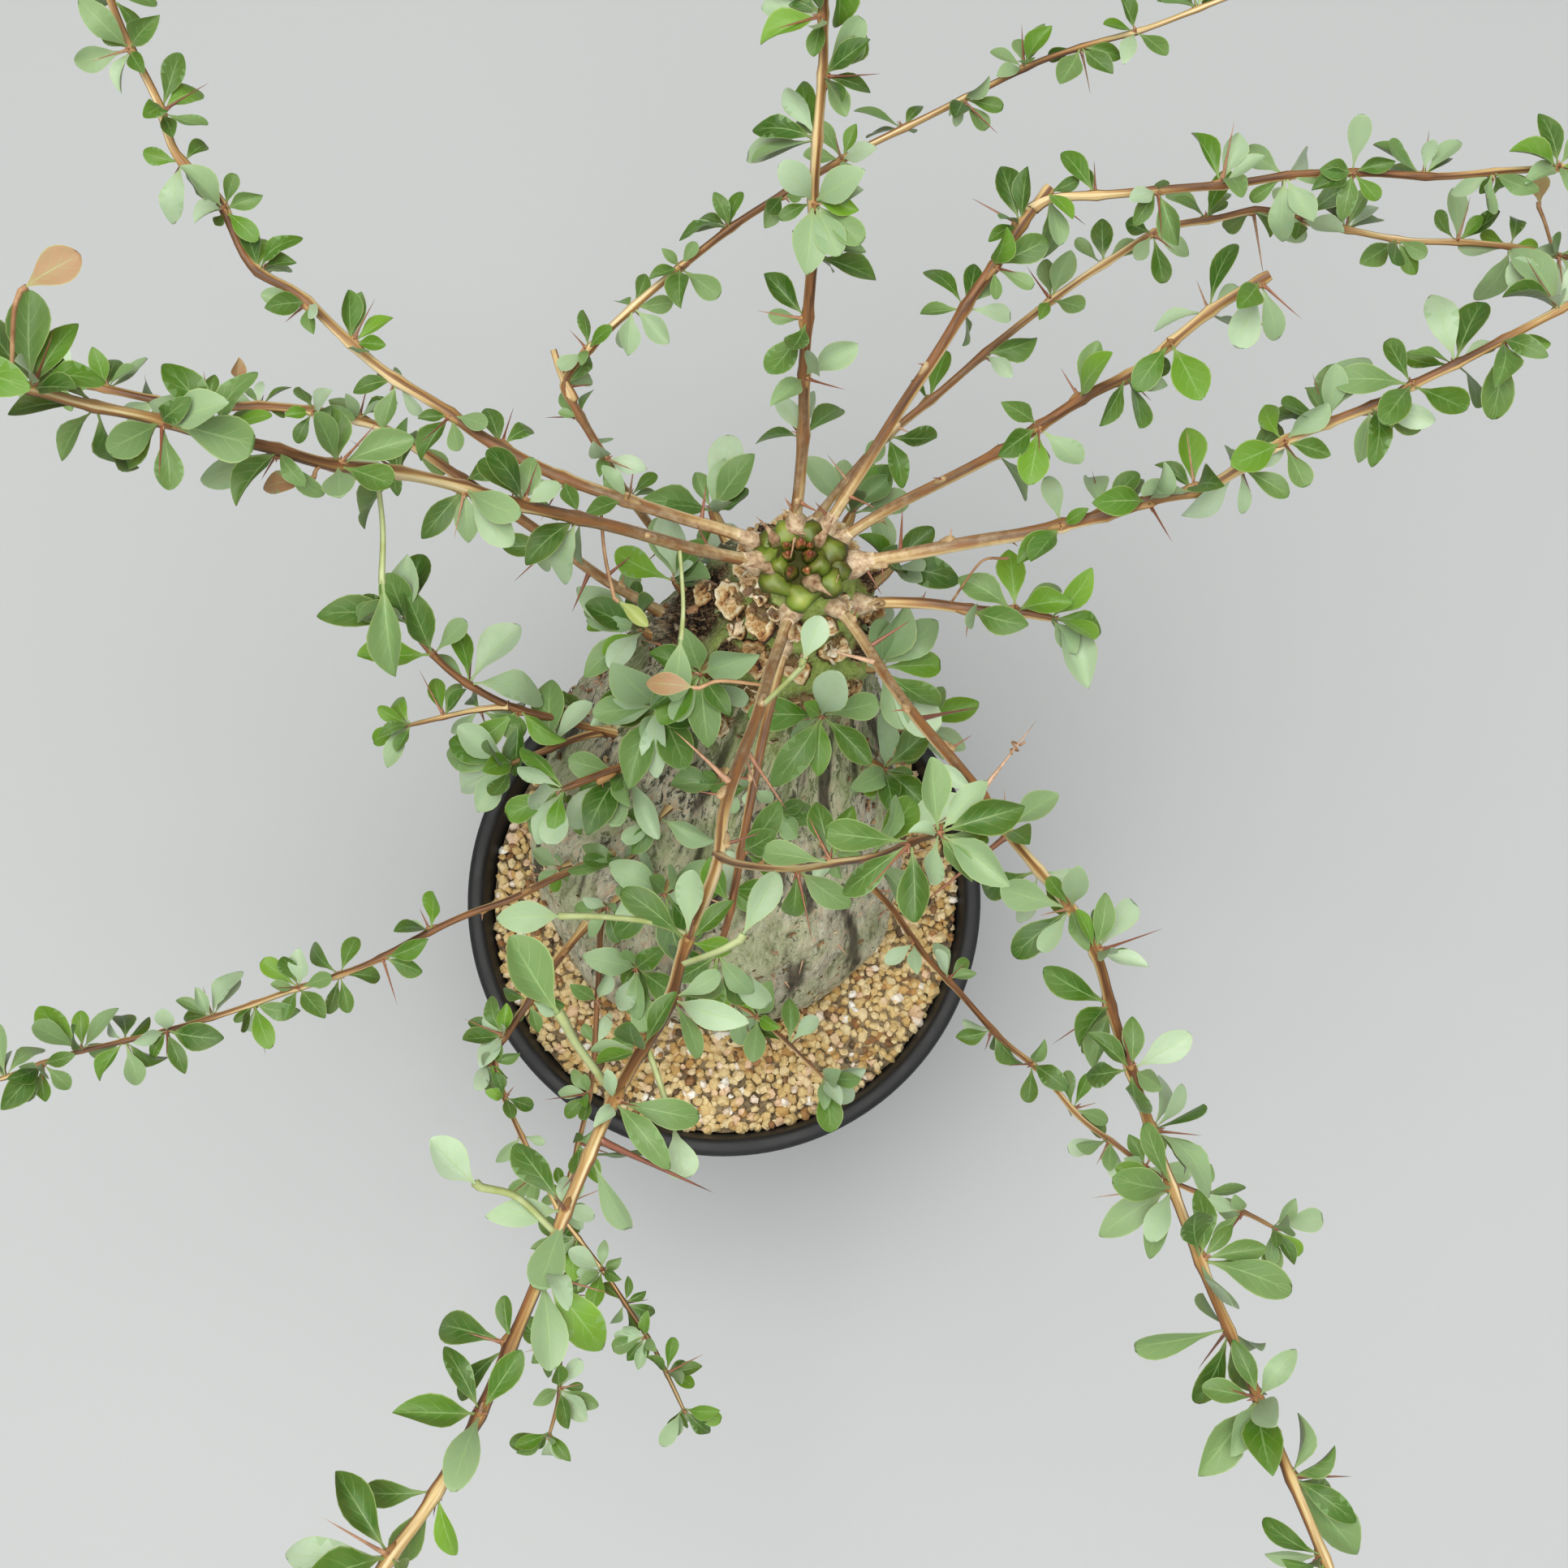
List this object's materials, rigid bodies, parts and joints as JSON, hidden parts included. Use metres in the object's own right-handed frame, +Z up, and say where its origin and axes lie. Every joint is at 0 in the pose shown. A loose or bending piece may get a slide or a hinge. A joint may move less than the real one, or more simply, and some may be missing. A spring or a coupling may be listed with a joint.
{
  "type": "potted boojum tree",
  "caption": "Swollen grey caudex in a round black pot of grit, with a green knobbly crown and long thin spiny branches that carry tufts of small spatulate leaves.",
  "frame": {"origin": "centre of the pot's underside", "axes": "+Z up, +X to the right and +Y away from someone who faces the plant's front"},
  "size_m": [0.4817, 0.4246, 0.5195],
  "materials": {
    "pot": "satin black nursery pot",
    "grit": "beige mineral grit",
    "bark": "grey fissured bark",
    "leafy_stem": "green leaves on woody stems"
  },
  "bodies": {
    "root": {"pot": "pot", "grit": "grit", "trunk": "bark", "branch_back_left": "leafy_stem", "branch_left_high": "leafy_stem", "branch_left_low": "leafy_stem", "branch_back": "leafy_stem", "branch_back_low": "leafy_stem", "branch_back_right": "leafy_stem", "branch_back_right_low": "leafy_stem", "branch_right_cut": "leafy_stem", "branch_right": "leafy_stem", "branch_right_short": "leafy_stem", "branch_front_right": "leafy_stem", "branch_front": "leafy_stem", "branch_front_short": "leafy_stem", "shoot_left_long": "leafy_stem", "shoot_left_upper": "leafy_stem", "shoot_left_thick": "leafy_stem", "shoot_front_left": "leafy_stem", "shoot_front_thin": "leafy_stem", "shoot_front_right": "leafy_stem", "shoot_front_bare": "leafy_stem", "rosette_behind_crown": "leafy_stem", "rosette_neck_left": "leafy_stem", "rosette_neck_back": "leafy_stem", "rosette_neck_front": "leafy_stem", "rosette_shoulder_left": "leafy_stem", "rosette_shoulder_front": "leafy_stem", "rosette_shoulder_right": "leafy_stem", "rosette_right": "leafy_stem", "rosette_back_right": "leafy_stem", "rosette_left": "leafy_stem", "rosette_front_left": "leafy_stem", "rosette_low_left": "leafy_stem", "rosette_front_right": "leafy_stem", "rosette_right_low": "leafy_stem"}
  },
  "joints": []
}
